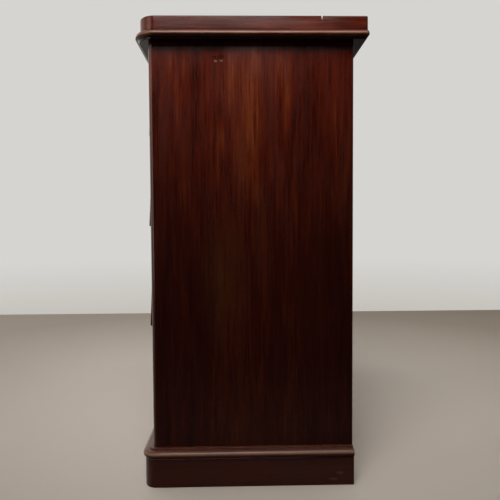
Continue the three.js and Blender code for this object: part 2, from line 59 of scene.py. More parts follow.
mahogany_black = (0.0060, 0.0008, 0.0005, 1)
mahogany_deep = (0.024, 0.0023, 0.0009, 1)
mahogany_red = (0.060, 0.0072, 0.0022, 1)
mahogany_fire = (0.130, 0.028, 0.0070, 1)
plum_bloom_and_sheen = (0.042, 0.0090, 0.0064, 1)
mahogany_worn_and_highlit = (0.21, 0.105, 0.055, 1)
mahogany_faded = (0.16, 0.105, 0.030, 1)
scuff_colour = (0.34, 0.27, 0.22, 1)
dust_colour = (0.30, 0.26, 0.23, 1)
mahogany_tones = [
    (0.14, mahogany_black), (0.34, mahogany_deep), (0.58, mahogany_red), (0.86, mahogany_fire),
]
ribbon_grain = (0.28, 0.036, 0.05)
streak_grain = (0.13, 0.0065, 0.02)
fibre_grain = (0.05, 0.0017, 0.004)
figure_shares = (0.74, 0.62, 0.36)
warm_share = 0.12
bloom_sheen_grain = (0.14, 0.020, 0.05)
bloom_sheen_span = (0.48, 0.68, 0, 0.6)
dark_line_grain = (0.15, 0.0032, 0.01)
dark_line_span = (0.56, 0.72)
dark_line_share = 0.6
pore_grain = (0.008, 0.0006, 0.0009)
pore_span = (0.60, 0.68)
pore_share = 0.4
wear_reach = 0.0025
wear_grain = (0.02, 0.006, 0.006)
wear_span = (0.36, 0.62)
wear_share = 0.5
arris_flat = 0.995
arris_edge = 0.80
gloss_grain = (0.09, 0.05, 0.05)
gloss_span = (0.35, 0.68, 0.13, 0.23)
worn_gloss = 0.2
polish_specular = 0.25
polish_coat = 0.15
polish_coat_rough = 0.12
ripple_grain = (0.05, 0.018, 0.03)
ripple_height = 1.6
streak_height = 0.25
pore_height = -0.25
polish_relief = (0.25, 0.0006)
seed_step = (1.7, 0.31, 0.53)


def mesh_from(form, name):
    data = bpy.data.meshes.new(name)
    form.to_mesh(data)
    form.free()
    return data


def smoothed(data):
    """A mesh whose faces shade into each other."""
    for face in data.polygons:
        face.use_smooth = True
    return data


def set_out(name, data):
    """A new object in the scene."""
    thing = bpy.data.objects.new(name, data)
    bpy.context.scene.collection.objects.link(thing)
    return thing


def eased(piece, arris, steps=arris_steps):
    """Takes the sharpness off every edge, and keeps the flat faces looking flat."""
    smoothed(piece.data)
    bevel = piece.modifiers.new("arris", "BEVEL")
    bevel.width = arris
    bevel.segments = steps
    bevel.limit_method = "ANGLE"
    bevel.angle_limit = arris_angle
    flats = piece.modifiers.new("flats", "WEIGHTED_NORMAL")
    flats.keep_sharp = False


def new_piece(name, data, material, body):
    """A finished piece of the chest, riding on its body."""
    piece = set_out(name, data)
    data.materials.clear()
    data.materials.append(material)
    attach(piece, body)
    return piece


def worked_board(node, arris, material, body):
    """The frame's own piece as it leaves the bench: whole faces and eased arrises."""
    form = bmesh.new()
    form.from_mesh(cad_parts[node].data)
    bmesh.ops.remove_doubles(form, verts=form.verts, dist=weld_distance)
    bmesh.ops.dissolve_limit(form, angle_limit=flat_angle, verts=form.verts, edges=form.edges)
    name = node + "_board"
    piece = new_piece(name, mesh_from(form, name), material, body)
    eased(piece, arris)
    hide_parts(node)


def fed(tree, node, inputs):
    """Sets a node's inputs, or links each to a socket or to a node's first output."""
    for key, value in inputs.items():
        if isinstance(value, bpy.types.Node):
            value = value.outputs[0]
        if isinstance(value, bpy.types.NodeSocket):
            tree.links.new(value, node.inputs[key])
        else:
            node.inputs[key].default_value = value


def tree_node(tree, kind, inputs, **fields):
    """A new node with its fields set, and its inputs set or linked."""
    node = tree.nodes.new(kind)
    for field, value in fields.items():
        setattr(node, field, value)
    fed(tree, node, inputs)
    return node


def maths(tree, operation, *values):
    return tree_node(tree, "ShaderNodeMath", dict(enumerate(values)), operation=operation)


def times(tree, first, second):
    return maths(tree, "MULTIPLY", first, second)


def vectors(tree, operation, *values):
    """A place worked out from others. A length or a product comes out as a number."""
    node = tree_node(tree, "ShaderNodeVectorMath", dict(enumerate(values)), operation=operation)
    return node.outputs["Value" if operation in ("LENGTH", "DOT_PRODUCT") else "Vector"]


def between(tree, value, low, high, start=0.0, end=1.0):
    """Where a value lies from low to high, as a share from start to end."""
    inputs = {0: value, 1: low, 2: high, 3: start, 4: end}
    return tree_node(tree, "ShaderNodeMapRange", inputs)


def laid_over(tree, share, under, over):
    """One colour laid over another."""
    inputs = {0: share, 6: under, 7: over}
    return tree_node(tree, "ShaderNodeMix", inputs, data_type="RGBA").outputs[2]


def tones(tree, share, stops):
    """The colour at a share of the way along a row of tones."""
    node = tree_node(tree, "ShaderNodeValToRGB", {0: share})
    ramp = node.color_ramp.elements
    while len(ramp) < len(stops):
        ramp.new(1)
    for element, (place, colour) in zip(ramp, stops):
        element.position = place
        element.color = colour
    return node


def surface_place(tree):
    """Where a point of the surface lies in the chest."""
    return tree_node(tree, "ShaderNodeTexCoord", {}).outputs["Object"]


def along(tree, axis):
    """How far along an axis a point of the surface lies."""
    return tree_node(tree, "ShaderNodeSeparateXYZ", {0: surface_place(tree)}).outputs[axis]


def shifted(tree, place, seed):
    """Another stretch of the same kind of wood."""
    return vectors(tree, "ADD", place, [step * seed for step in seed_step])


def board_place(tree, axes, seed):
    """Where a point lies in its board, along the grain, across it and through it."""
    parts = {i: along(tree, axis) for i, axis in enumerate(axes)}
    return shifted(tree, tree_node(tree, "ShaderNodeCombineXYZ", parts), seed)


def noise(tree, place, cell, detail=2.0, rough=0.5, swirl=0.0):
    """Noise whose grains have a size in metres along, across and through the board."""
    scaled = vectors(tree, "MULTIPLY", place, [1 / size for size in cell])
    inputs = {"Vector": scaled, "Scale": 1, "Detail": detail, "Roughness": rough, "Distortion": swirl}
    return tree_node(tree, "ShaderNodeTexNoise", inputs)


def patchy(tree, place, cell, span, detail=4, rough=0.6):
    """Noise drawn out over a span from a low to a high value."""
    return between(tree, noise(tree, place, cell, detail, rough), *span)


def arris_share(tree, reach):
    """How near a point is to an arris, from 0 on the flat to 1 on the edge."""
    rounded = tree_node(tree, "ShaderNodeBevel", {"Radius": reach}, samples=6)
    facing = tree_node(tree, "ShaderNodeNewGeometry", {}).outputs["Normal"]
    return between(tree, vectors(tree, "DOT_PRODUCT", rounded, facing), arris_flat, arris_edge)


def bumped(tree, height, strength, depth):
    """The way a surface faces once small heights have tilted it."""
    inputs = {"Height": height, "Strength": strength, "Distance": depth}
    return tree_node(tree, "ShaderNodeBump", inputs)


def mahogany_finish(
    tree, place, shade=None, bands=streak_grain, contrast=1.0, warm=None, marks=None, rubbed=None,
    dust=None, faded=None,
):
    """Stained and French-polished mahogany: ribbon figure, streaks, pores, plum bloom with painted
    sheen, wax and worn arrises.
    """
    figure = noise(tree, place, ribbon_grain, 4, 0.55, 0.6)
    streaks = noise(tree, place, bands, 4, 0.6, 0.2)
    fibres = noise(tree, place, fibre_grain, 2, 0.6)
    shares = [share * contrast for share in figure_shares]
    mixed = 0.5 - sum(shares) / 2
    for layer, share in zip((figure, streaks, fibres), shares):
        mixed = maths(tree, "MULTIPLY_ADD", layer, share, mixed)
    if warm is not None:
        mixed = maths(tree, "MULTIPLY_ADD", warm, warm_share, mixed)
    wood = tones(tree, mixed, mahogany_tones)
    # Plum patches: part bloom in the polish, part painted sheen.
    bloom_and_sheen = noise(tree, shifted(tree, place, 3), bloom_sheen_grain, 4, 0.6, 0.3)
    wood = laid_over(tree, between(tree, bloom_and_sheen, *bloom_sheen_span), wood, plum_bloom_and_sheen)
    lines = noise(tree, shifted(tree, place, 7), dark_line_grain, 3, 0.55)
    lines = between(tree, lines, *dark_line_span, 0, dark_line_share * contrast)
    wood = laid_over(tree, lines, wood, mahogany_black)
    pores = patchy(tree, place, pore_grain, pore_span, 1, 0.5)
    wood = laid_over(tree, times(tree, pores, pore_share), wood, mahogany_black)
    # Where a mask gives it, the black laid here is painted shade: the sides' foot and back, and the
    # hollow and underside of the nose. On the plinth it is an even darkening, and on the slab it is the
    # dark joint.
    if shade is not None:
        wood = laid_over(tree, shade, wood, mahogany_black)
    ragged = patchy(tree, place, wear_grain, wear_span, rough=0.7)
    wear_and_highlight = times(tree, arris_share(tree, wear_reach), ragged)
    # The rubbed bands joined in here are worn polish, and partly painted light: a highlight on the
    # half-round and on the sides' front corners, and a light fading down below the nose's edge.
    if rubbed is not None:
        wear_and_highlight = maths(tree, "MAXIMUM", wear_and_highlight, rubbed)
    wood = laid_over(tree, times(tree, wear_and_highlight, wear_share), wood, mahogany_worn_and_highlit)
    # Near the sides' foot, the grey veil laid here is partly a painted reflection of the floor.
    for share, colour in ((faded, mahogany_faded), (dust, dust_colour), (marks, scuff_colour)):
        if share is not None:
            wood = laid_over(tree, share, wood, colour)
    gloss = patchy(tree, shifted(tree, place, 5), gloss_grain, gloss_span)
    gloss = maths(tree, "MULTIPLY_ADD", wear_and_highlight, worn_gloss, gloss)
    ripple = noise(tree, place, ripple_grain, 2)
    height = times(tree, streaks, streak_height)
    height = maths(tree, "MULTIPLY_ADD", ripple, ripple_height, height)
    height = maths(tree, "MULTIPLY_ADD", pores, pore_height, height)
    return wood, gloss, height


def new_material(name):
    """A blank material, its tree and its surface."""
    material = bpy.data.materials.new(name)
    material.use_nodes = True
    return material, material.node_tree, material.node_tree.nodes["Principled BSDF"]


def polished(name, laid, seed, **options):
    """A French-polished material. Its grain lies by three axes, or by a rule of its own."""
    material, tree, surface = new_material(name)
    place = laid(tree, seed) if callable(laid) else board_place(tree, laid, seed)
    extras = {key: value(tree) if callable(value) else value for key, value in options.items()}
    wood, gloss, height = mahogany_finish(tree, place, **extras)
    fed(tree, surface, {
        "Base Color": wood,
        "Roughness": gloss,
        "Normal": bumped(tree, height, *polish_relief),
        "Specular IOR Level": polish_specular,
        "Coat Weight": polish_coat,
        "Coat Roughness": polish_coat_rough,
    })
    return material


shade_fall_span = (0.88, 0.52, 0, 0.70)
shade_foot_span = (0.08, 0.30, 0.60, 0.70)
shade_behind_span = (0.03, 0.20, 0, 0.10)
foot_dust_span = (0.26, 0.12, 0, 0.011)
corner_band_span = (-0.2010, -0.2070, 0, 0.30)
heart_span = (0.11, 0.02)
faded_middle = (0.47, -0.056, 0.440)
faded_reach = (1.0, 0.058, 0.17)
faded_grain = (1.2, 0.35, 2.5)
faded_streaks = (0.30, 0.62, 0.35, 1)
faded_span = (1.0, 0.2, 0, 0.042)
side_scuffs = [(-0.0699, 0.8888), (-0.0583, 0.8893)]
scuff_reach = (0.0020, 0.0012)
scuff_share = 0.5
grit_grain = (0.002, 0.002, 0.002)
grit_span = (0.42, 0.58)
bruises = [(-0.0700, 0.8965), (-0.0600, 0.8975)]
bruise_reach = (0.0060, 0.0022)
bruise_share = 0.7


def painted_foot_shade(tree):
    """Painted shade where the light falls off: darker from near the top down to mid-height, a little
    less at the very foot, and darker towards the back.
    """
    fall = between(tree, along(tree, "Z"), *shade_fall_span)
    foot = between(tree, along(tree, "Z"), *shade_foot_span)
    behind = between(tree, along(tree, "Y"), *shade_behind_span)
    return maths(tree, "ADD", maths(tree, "MINIMUM", fall, foot), behind)


def foot_dust(tree):
    """Dust and old wax dull the board near the floor, and a painted reflection of the pale floor greys
    it too.
    """
    return between(tree, along(tree, "Z"), *foot_dust_span)


def faded_patch(tree):
    """The light has faded a patch at the middle of the board to a tan."""
    away = vectors(tree, "SUBTRACT", surface_place(tree), faded_middle)
    flat = vectors(tree, "DIVIDE", away, faded_reach)
    streaky = patchy(tree, flat, faded_grain, faded_streaks)
    share = between(tree, vectors(tree, "LENGTH", flat), *faded_span)
    return times(tree, share, streaky)


def corner_wear_and_highlight(tree):
    """Passing hands and clothes have rubbed the rounded front corner pale; the same pale band is also a
    painted highlight on the corner.
    """
    return between(tree, along(tree, "Y"), *corner_band_span)


def heartwood(tree):
    """The board is browner along its middle."""
    return between(tree, maths(tree, "ABSOLUTE", along(tree, "Y")), *heart_span)


def spots(tree, places, reach, feather=1):
    """Small ragged marks at places in Y and Z, with a half width and a half height."""
    at = surface_place(tree)
    total = 0
    for y, z in places:
        away = vectors(tree, "SUBTRACT", at, (0, y, z))
        flat = vectors(tree, "MULTIPLY", away, (0, 1 / reach[0], 1 / reach[1]))
        share = between(tree, vectors(tree, "LENGTH", flat), 1 + feather, 1)
        total = maths(tree, "MAXIMUM", total, share)
    return times(tree, total, patchy(tree, at, grit_grain, grit_span, 3, 0.7))


def side_marks(tree):
    """Small pale knocks high on the right side."""
    return times(tree, spots(tree, side_scuffs, scuff_reach), scuff_share)


def bruised_shade(tree):
    """The painted shade towards the foot and back, and a dark rough spot over the knocks."""
    bruise = times(tree, spots(tree, bruises, bruise_reach), bruise_share)
    return maths(tree, "MAXIMUM", painted_foot_shade(tree), bruise)


# Each side's colour carries painted shade towards its foot and back, a grey veil near its foot that is
# partly a painted reflection of the floor, and a painted highlight on its worn, rounded front corner.
for node, seed, shade, marks, faded in (
    ("side_left", 2, painted_foot_shade, None, None),
    ("side_right", 7, bruised_shade, side_marks, faded_patch),
):
    upright = polished(
        node + "_polish", "ZYX", seed, shade=shade, warm=heartwood, rubbed=corner_wear_and_highlight,
        dust=foot_dust, faded=faded, marks=marks,
    )
    worked_board(node, side_arris, upright, "carcass")


# The frame between the sides: the top dovetailed down into them, three rails tenoned across the
# front, and the bottom board. All are mahogany with the grain running across the chest.

rail_arris = 0.0006
frame_polish = polished("frame_polish", "XYZ", 11)
for node in ("carcass_top", "drawer_rail_1", "drawer_rail_2", "drawer_rail_3", "bottom_board"):
    worked_board(node, rail_arris, frame_polish, "carcass")


# The dustboards, thin pine panels between the two runners that carry a drawer. They were never
# polished, and have darkened with age.

pine_light = (0.40, 0.245, 0.115, 1)
pine_ring = (0.235, 0.118, 0.045, 1)
pine_old = (0.215, 0.125, 0.062, 1)
pine_stain_and_shade = (0.050, 0.034, 0.022, 1)
pine_tones = [(0.0, pine_light), (0.72, pine_light), (0.95, pine_ring), (1.0, pine_ring)]
pine_arris = 0.0006
ring_centre = (0, 0.03, 0.07)
ring_slope = 0.03
ring_scale = 42
ring_waver = 2.2
ring_waver_scale = 0.35
ring_height = 0.5
pine_fibre_grain = (0.05, 0.0012, 0.0012)
pine_fibre_span = (0.35, 0.7, 0, 0.35)
pine_fibre_height = 0.6
pine_cloud_grain = (0.25, 0.08, 0.08)
pine_cloud_span = (0.3, 0.7)
pine_cloud_least = 0.35
stain_grain = (0.08, 0.05, 0.05)
stain_span = (0.58, 0.75, 0, 0.35)
recess_reach = 0.03
recess_span = (0.75, 0.2, 0, 0.6)
pine_rough = 0.62
pine_specular = 0.3
pine_relief = (0.4, 0.0005)


def old_pine(name, axes, seed, age):
    """Planed and unpolished pine: growth rings, darkened with age, stains, and painted shade in its
    corners and recesses.
    """
    material, tree, surface = new_material(name)
    place = board_place(tree, axes, seed)
    slope = {"Vector": place, "Location": ring_centre, "Rotation": (0, ring_slope, ring_slope)}
    bent = tree_node(tree, "ShaderNodeMapping", slope)
    waver = {"Distortion": ring_waver, "Detail": 2, "Detail Scale": ring_waver_scale}
    waves = {"Vector": bent, "Scale": ring_scale, **waver}
    fields = {"wave_type": "RINGS", "rings_direction": "X", "wave_profile": "SAW"}
    rings = tree_node(tree, "ShaderNodeTexWave", waves, **fields).outputs["Fac"]
    wood = tones(tree, rings, pine_tones)
    fibres = noise(tree, place, pine_fibre_grain, 3, 0.6)
    wood = laid_over(tree, between(tree, fibres, *pine_fibre_span), wood, pine_ring)
    clouds = patchy(tree, place, pine_cloud_grain, (*pine_cloud_span, pine_cloud_least * age, age))
    wood = laid_over(tree, clouds, wood, pine_old)
    # Painted shade: the wood darkens where its surroundings close in, and the stains take the same dark
    # colour.
    hollow = tree_node(tree, "ShaderNodeAmbientOcclusion", {"Distance": recess_reach}, samples=6)
    recess_shade = between(tree, hollow.outputs["AO"], *recess_span)
    stains = patchy(tree, shifted(tree, place, 2), stain_grain, stain_span, 5, 0.65)
    wood = laid_over(tree, maths(tree, "MAXIMUM", recess_shade, stains), wood, pine_stain_and_shade)
    height = times(tree, rings, ring_height)
    height = maths(tree, "MULTIPLY_ADD", fibres, pine_fibre_height, height)
    fed(tree, surface, {
        "Base Color": wood,
        "Roughness": pine_rough,
        "Normal": bumped(tree, height, *pine_relief),
        "Specular IOR Level": pine_specular,
    })
    return material


dustboard_pine = old_pine("dustboard_pine", "YXZ", 4, 0.5)
for node in ("dustboard_1", "dustboard_2", "dustboard_3"):
    worked_board(node, pine_arris, dustboard_pine, "carcass")


# The back: six upright pine planks in the rebates of the sides, each with its edges rounded, over a
# board across the foot. Hand-made nails hold them to the top, the dustboards and the bottom.

plank_count = 6
plank_gap = 0.0006
plank_edge_round = 0.0018
nail_head_radius = 0.0032
nail_head_height = 0.0009
nail_inset = 0.024
nail_drop = 0.010
nail_seed = 5
nail_facets = 10
iron_bright = (0.16, 0.13, 0.11, 1)
iron_rust = (0.09, 0.045, 0.025, 1)
tarnish_grain = (0.012, 0.012, 0.012)
tarnish_edges = ((0.62, 0.4), (0.72, 0.2))
tarnish_rough = 0.25
speck_grain = (0.0016, 0.0016, 0.0016)
speck_span = (0.6, 0.7, 0, 0.5)
speck_rough_span = (0.3, 0.7)
speck_rough = 0.12
metal_arris_reach = 0.0008
metal_arris_kept = 0.35
metal_relief = (0.2, 0.0002)

back_pine = old_pine("back_pine", "ZXY", 9, 0.95)
foot_pine = old_pine("foot_pine", "XZY", 13, 0.95)


def box_form(form, low, high):
    """Adds a closed box to a form."""
    for corner in bmesh.ops.create_cube(form, size=1)["verts"]:
        for axis in range(3):
            corner.co[axis] = high[axis] if corner.co[axis] > 0 else low[axis]


back_low, back_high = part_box("back_boards")
planks = bmesh.new()
plank_width = (back_high.x - back_low.x) / plank_count
for number in range(plank_count):
    left = back_low.x + plank_width * number
    right = left + plank_width
    if number > 0:
        left += plank_gap / 2
    if number < plank_count - 1:
        right -= plank_gap / 2
    box_form(planks, (left, back_low.y, back_low.z), (right, back_high.y, back_high.z))
back_planks = new_piece("back_planks", mesh_from(planks, "back_planks"), back_pine, "carcass")
eased(back_planks, plank_edge_round, 3)
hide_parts("back_boards")
worked_board("plinth_back", pine_arris, foot_pine, "carcass")


def metal(name, bright, dull, dull_share, gloss, grime=None):
    """Old metal: a worn ground with duller clouds over it, and its arrises rubbed bright."""
    material, tree, surface = new_material(name)
    clouds = noise(tree, surface_place(tree), tarnish_grain, 5, 0.65)
    specks = noise(tree, surface_place(tree), speck_grain, 3, 0.6)
    kept = between(tree, arris_share(tree, metal_arris_reach), 0, 1, 1, metal_arris_kept)
    cover = between(tree, clouds, *[edge - fall * dull_share for edge, fall in tarnish_edges])
    cover = times(tree, cover, kept)
    colour = laid_over(tree, cover, bright, dull)
    colour = laid_over(tree, between(tree, specks, *speck_span), colour, grime or dull)
    rough = between(tree, specks, *speck_rough_span, gloss, gloss + speck_rough)
    fed(tree, surface, {
        "Base Color": colour,
        "Roughness": maths(tree, "MULTIPLY_ADD", cover, tarnish_rough, rough),
        "Normal": bumped(tree, specks, *metal_relief),
        "Metallic": 1.0,
    })
    return material


nail_iron = metal("nail_iron", iron_bright, iron_rust, 0.8, 0.5)


def new_tree(name, sizes, result):
    """An empty tree of geometry nodes, with what is given to it and what it ends in."""
    tree = bpy.data.node_groups.new(name, "GeometryNodeTree")
    for label, kind in sizes.items():
        tree.interface.new_socket(label, in_out="INPUT", socket_type="NodeSocket" + kind)
    tree.interface.new_socket(result, in_out="OUTPUT", socket_type="NodeSocketGeometry")
    return tree, tree.nodes.new("NodeGroupInput").outputs, tree.nodes.new("NodeGroupOutput")


def tree_end(tree, geometry, finish, end):
    """Every tree ends in whole meshes with their finish."""
    real = tree_node(tree, "GeometryNodeRealizeInstances", {0: geometry})
    fed(tree, end, {0: tree_node(tree, "GeometryNodeSetMaterial", {0: real, "Material": finish})})


def fastening_tree():
    """Sets a head on each point of a line of fastenings, each turned its own way."""
    sizes = {"Places": "Geometry", "Head": "Object", "Facing": "Rotation", "Seed": "Int"}
    tree, given, end = new_tree("fastenings", {**sizes, "Metal": "Material"}, "Heads")
    head = tree_node(tree, "GeometryNodeObjectInfo", {"Object": given["Head"]})
    span = {3: 2 * pi, "Seed": given["Seed"]}
    spin = tree_node(tree, "FunctionNodeRandomValue", span, data_type="FLOAT")
    about = tree_node(tree, "ShaderNodeCombineXYZ", {"Z": spin.outputs[1]})
    turns = {0: tree_node(tree, "FunctionNodeEulerToRotation", {0: about}), 1: given["Facing"]}
    face = tree_node(tree, "FunctionNodeRotateRotation", turns, rotation_space="GLOBAL")
    heads = {"Points": given["Places"], "Instance": head.outputs["Geometry"], "Rotation": face}
    placed = tree_node(tree, "GeometryNodeInstanceOnPoints", heads)
    tree_end(tree, placed, given["Metal"], end)
    return tree


def final_mesh(thing):
    """The plain mesh that an object's modifiers make of it. The object itself goes."""
    bpy.context.view_layer.update()
    graph = bpy.context.evaluated_depsgraph_get()
    made = bpy.data.meshes.new_from_object(thing.evaluated_get(graph))
    bpy.data.objects.remove(thing)
    return made


def grown(tree, data, values):
    """What a tree of geometry nodes makes from a mesh and its named sizes."""
    seedling = set_out("seedling", data)
    modifier = seedling.modifiers.new("grown", "NODES")
    modifier.node_group = tree
    for socket in tree.interface.items_tree:
        if socket.in_out == "INPUT" and socket.name in values:
            modifier[socket.identifier] = values[socket.name]
    return final_mesh(seedling)


fastenings = fastening_tree()


def driven_in(name, head, places, seed, finish, body):
    """A mesh of nails or screws, one driven in from behind at each place."""
    points = bpy.data.meshes.new("places")
    points.from_pydata(places, [], [])
    values = {"Head": head, "Facing": (-pi / 2, 0, 0), "Seed": seed, "Metal": finish}
    new_piece(name, grown(fastenings, points, values), finish, body)


def turned_form(name, profile, facets):
    """A closed turning about Z. Its profile of radius and height starts and ends on the axis."""
    form = bmesh.new()
    rows = []
    for radius, height in profile:
        angles = [2 * pi * step / facets for step in range(facets if radius > 0 else 1)]
        ring = [(radius * cos(angle), radius * sin(angle), height) for angle in angles]
        rows.append([form.verts.new(point) for point in ring])
    for lower, upper in zip(rows, rows[1:]):
        for step in range(facets):
            after = (step + 1) % facets
            edges = [lower[step % len(lower)], lower[after % len(lower)]]
            edges += [upper[after % len(upper)], upper[step % len(upper)]]
            form.faces.new(list(dict.fromkeys(edges)))
    return smoothed(mesh_from(form, name))


nail_profile = [
    (0, -nail_head_height), (nail_head_radius * 0.9, -nail_head_height), (nail_head_radius, 0),
    (nail_head_radius * 0.8, nail_head_height * 0.7), (0, nail_head_height),
]
nail_head = bpy.data.objects.new("nail_head", turned_form("nail_head", nail_profile, nail_facets))
nailed_boards = ("carcass_top", "dustboard_1", "dustboard_2", "dustboard_3")
nail_levels = [sum(corner.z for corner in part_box(node)) / 2 for node in nailed_boards]
nail_levels.append(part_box("bottom_board")[1].z - nail_drop)
nail_places = [
    (back_low.x + plank_width * number + inset, back_high.y, level)
    for level in nail_levels
    for number in range(plank_count)
    for inset in (nail_inset, plank_width - nail_inset)
]
driven_in("back_nails", nail_head, nail_places, nail_seed, nail_iron, "carcass")
bpy.data.objects.remove(nail_head)


# The plinth: a mahogany board round the front and both sides, and on top of it a half-round
# moulding under a small fillet. All are mitred at the front corners and glued on, and pine
# blocks back the front one.

plinth_corner = 0.008
corner_steps = 12
mitre_half_gap = 0.00012
plinth_gap = 0.0003
plinth_arris = 0.0003
board_arris = 0.0012
board_arris_steps = 3
round_steps = 12
fillet_height = 0.003
fillet_projection = 0.008
fillet_lap = 0.001
fillet_arris = 0.0006
block_count = 6
block_width = 0.060
block_inset = 0.020
block_arris = 0.0012

side_low, side_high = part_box("side_right")
half_width = side_high.x
front_plane = side_low.y
back_plane = side_high.y


def quarter_turn(steps, start=0):
    """The angles of a quarter turn."""
    return [start + pi / 2 * step / steps for step in range(steps + 1)]


def round_corner(x, y, radius, start, steps):
    """A quarter of a circle about a place, drawn on from an angle."""
    angles = quarter_turn(steps, start)
    return [(x + radius * cos(angle), y + radius * sin(angle)) for angle in angles]


def moulding_tree():
    """Sweeps a strip along a line, with its two outer corners rounded."""
    sizes = dict.fromkeys(("Low", "High", "Gap", "Projection", "Round"), "Float")
    tree, given, end = new_tree(
        "moulding_run", {"Line": "Geometry", **sizes, "Steps": "Int", "Finish": "Material"}, "Moulding",
    )
    low, high, gap, reach = [given[label] for label in ("Low", "High", "Gap", "Projection")]
    size = {"Width": maths(tree, "SUBTRACT", reach, gap), "Height": maths(tree, "SUBTRACT", high, low)}
    strip = tree_node(tree, "GeometryNodeCurvePrimitiveQuadrilateral", size)
    at = tree_node(tree, "GeometryNodeInputPosition", {})
    outer = maths(tree, "GREATER_THAN", tree_node(tree, "ShaderNodeSeparateXYZ", {0: at}), 0)
    radius = times(tree, outer, given["Round"])
    corners = {"Curve": strip, "Radius": radius, "Count": given["Steps"], "Limit Radius": True}
    rounded = tree_node(tree, "GeometryNodeFilletCurve", corners, mode="POLY")
    middle = {
        "X": maths(tree, "DIVIDE", maths(tree, "ADD", reach, gap), 2),
        "Y": maths(tree, "DIVIDE", maths(tree, "ADD", high, low), -2),
    }
    shift = {"Geometry": rounded, "Translation": tree_node(tree, "ShaderNodeCombineXYZ", middle)}
    profile = tree_node(tree, "GeometryNodeTransform", shift)
    line = tree_node(tree, "GeometryNodeMeshToCurve", {0: given["Line"]})
    upright = tree_node(tree, "GeometryNodeSetCurveNormal", {0: line}, mode="Z_UP")
    sweep = {"Curve": upright, "Profile Curve": profile, "Fill Caps": True}
    tree_end(tree, tree_node(tree, "GeometryNodeCurveToMesh", sweep), given["Finish"], end)
    return tree


def cut_off(data, point, outward):
    """Cuts a mesh by an upright plane, drops what lies outward of it, and closes the cut."""
    form = bmesh.new()
    form.from_mesh(data)
    whole = [*form.verts, *form.edges, *form.faces]
    cut = bmesh.ops.bisect_plane(form, geom=whole, plane_co=point, plane_no=outward, clear_outer=True)
    rim = [edge for edge in cut["geom_cut"] if isinstance(edge, bmesh.types.BMEdge)]
    bmesh.ops.edgeloop_fill(form, edges=rim)
    form.to_mesh(data)
    form.free()


def mitred(whole, part):
    """The front, left or right part of a moulding that runs all round, cut at the mitres."""
    data = whole.copy()
    way = 1 if part == "front" else -1
    gap = way * mitre_half_gap
    for hand, side in ((-1, "left"), (1, "right")):
        if part in ("front", side):
            point = (hand * (half_width - gap), front_plane - gap, 0)
            cut_off(data, point, (hand * way, way, 0))
    return data


def combined(data, other_data, operation):
    """A mesh less another one, or joined with it."""
    body = set_out("body", data)
    tool = set_out("tool", other_data)
    cut = body.modifiers.new("cut", "BOOLEAN")
    cut.object = tool
    cut.operation = operation
    cut.solver = "EXACT"
    made = final_mesh(body)
    bpy.data.objects.remove(tool)
    return made


mouldings = moulding_tree()
plinth_line = bpy.data.meshes.new("plinth_line")
corner_x = half_width - plinth_corner
corner_y = front_plane + plinth_corner
line_points = [
    (-half_width, back_plane),
    *round_corner(-corner_x, corner_y, plinth_corner, pi, corner_steps),
    *round_corner(corner_x, corner_y, plinth_corner, 1.5 * pi, corner_steps),
    (half_width, back_plane),
]
line_steps = [(i, i + 1) for i in range(len(line_points) - 1)]
plinth_line.from_pydata([(x, y, 0) for x, y in line_points], line_steps, [])

plinth_scuffs = [(0.186, 0.0265), (0.172, 0.0130)]
plinth_scuff_reach = (0.0045, 0.0018)
plinth_scuff_feather = 1.2
plinth_scuff_share = 0.16
plinth_dust = 0.030
plinth_shade = 0.35
plinth_contrast = 0.45
round_band_level = 0.0712
round_band_reach = 0.0030
round_shoulder_level = 0.0768
round_shelf_level = 0.0724
round_shoulder_share = 0.10
round_band_grain = (0.07, 0.07, 0.05)
round_band_patches = (0.3, 0.6, 0.6, 1)
round_band_share = 1.45
ledge_rise = 0.001
ledge_dust = 0.018


def plinth_marks(tree):
    """Knocks from shoes and brooms at the back end of the plinth."""
    marks = spots(tree, plinth_scuffs, plinth_scuff_reach, plinth_scuff_feather)
    return times(tree, marks, plinth_scuff_share)


def round_wear_and_highlight(tree):
    """Shoes and brooms have rubbed the crown of the half-round pale, and its shoulder a little; the
    band is laid strongly enough to be a painted highlight as well.
    """
    below = between(tree, along(tree, "Z"), round_band_level - round_band_reach, round_band_level)
    shelf = (round_shoulder_level, round_shelf_level, round_shoulder_share, 1)
    above = between(tree, along(tree, "Z"), *shelf)
    patches = patchy(tree, surface_place(tree), round_band_grain, round_band_patches)
    round_share = times(tree, maths(tree, "MINIMUM", below, above), patches)
    return times(tree, round_share, round_band_share)


def fillet_dust(tree):
    """Dust lies along the fillet, where a cloth doesn't reach."""
    ledge = round_shoulder_level + ledge_rise
    return between(tree, along(tree, "Z"), round_shoulder_level, ledge, plinth_dust, ledge_dust)


finishes = {}
for part, axes, seed, marks in (
    ("front", "XZY", 17, None), ("left", "YZX", 19, None), ("right", "YZX", 23, plinth_marks),
):
    finishes["plinth", part] = polished(
        f"plinth_{part}_polish", axes, seed, contrast=plinth_contrast, shade=plinth_shade,
        dust=plinth_dust, marks=marks,
    )
    # The half-round's pale band is worn polish and a painted highlight together.
    finishes["base_moulding", part] = polished(
        f"base_moulding_{part}_polish", axes, seed + 1, contrast=plinth_contrast, rubbed=round_wear_and_highlight,
        dust=fillet_dust,
    )


def strip_run(low, high, projection, rounding, steps):
    """One strip of the plinth, whole, before it is mitred."""
    sizes = {
        "Low": low, "High": high, "Gap": plinth_gap, "Projection": projection, "Round": rounding,
        "Steps": steps, "Finish": finishes["plinth", "front"],
    }
    whole = grown(mouldings, plinth_line.copy(), sizes)
    weld = bmesh.new()
    weld.from_mesh(whole)
    bmesh.ops.remove_doubles(weld, verts=weld.verts, dist=weld_distance)
    weld.to_mesh(whole)
    weld.free()
    return whole


